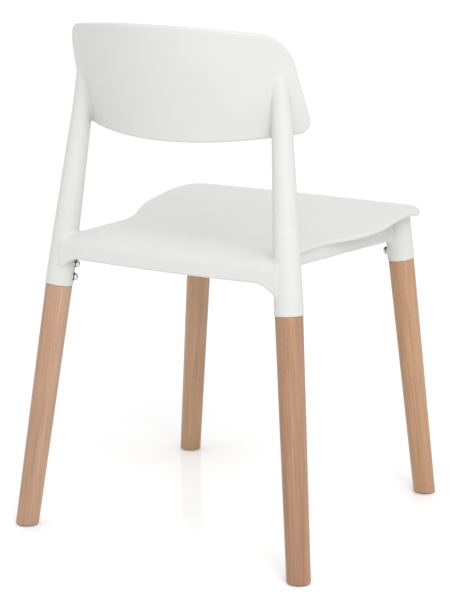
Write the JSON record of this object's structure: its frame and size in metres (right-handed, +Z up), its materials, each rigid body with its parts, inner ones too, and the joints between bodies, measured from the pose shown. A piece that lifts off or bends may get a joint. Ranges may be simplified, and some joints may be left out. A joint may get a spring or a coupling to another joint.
{
  "type": "dining chair",
  "caption": "Armless dining chair: one-piece moulded plastic seat, posts and curved back on splayed, tapered round wooden legs bolted into sockets",
  "frame": {"origin": "on the floor, under the middle of the chair's bounding box", "axes": "+Z up; the chair faces -Y; +X is the sitter's left"},
  "size_m": [0.4886, 0.5072, 0.75],
  "materials": {
    "moulding": "satin white moulded polypropylene, fine texture",
    "beech": "clear matt lacquered beech",
    "steel": "bright zinc plated steel",
    "insert": "plain machined",
    "glide": "plain nylon"
  },
  "bodies": {
    "root": {"bolts_front_left": "steel", "bolts_front_right": "steel", "bolts_rear_left": "steel", "bolts_rear_right": "steel", "flat_washers_front_left": "steel", "flat_washers_front_right": "steel", "flat_washers_rear_left": "steel", "flat_washers_rear_right": "steel", "foot_glide_front_left": "glide", "foot_glide_front_right": "glide", "foot_glide_rear_left": "glide", "foot_glide_rear_right": "glide", "leg_front_left": "beech", "leg_front_right": "beech", "leg_rear_left": "beech", "leg_rear_right": "beech", "moulded_shell": "moulding", "spring_washers_front_left": "steel", "spring_washers_front_right": "steel", "spring_washers_rear_left": "steel", "spring_washers_rear_right": "steel", "threaded_inserts_front_left": "insert", "threaded_inserts_front_right": "insert", "threaded_inserts_rear_left": "insert", "threaded_inserts_rear_right": "insert"}
  },
  "joints": []
}
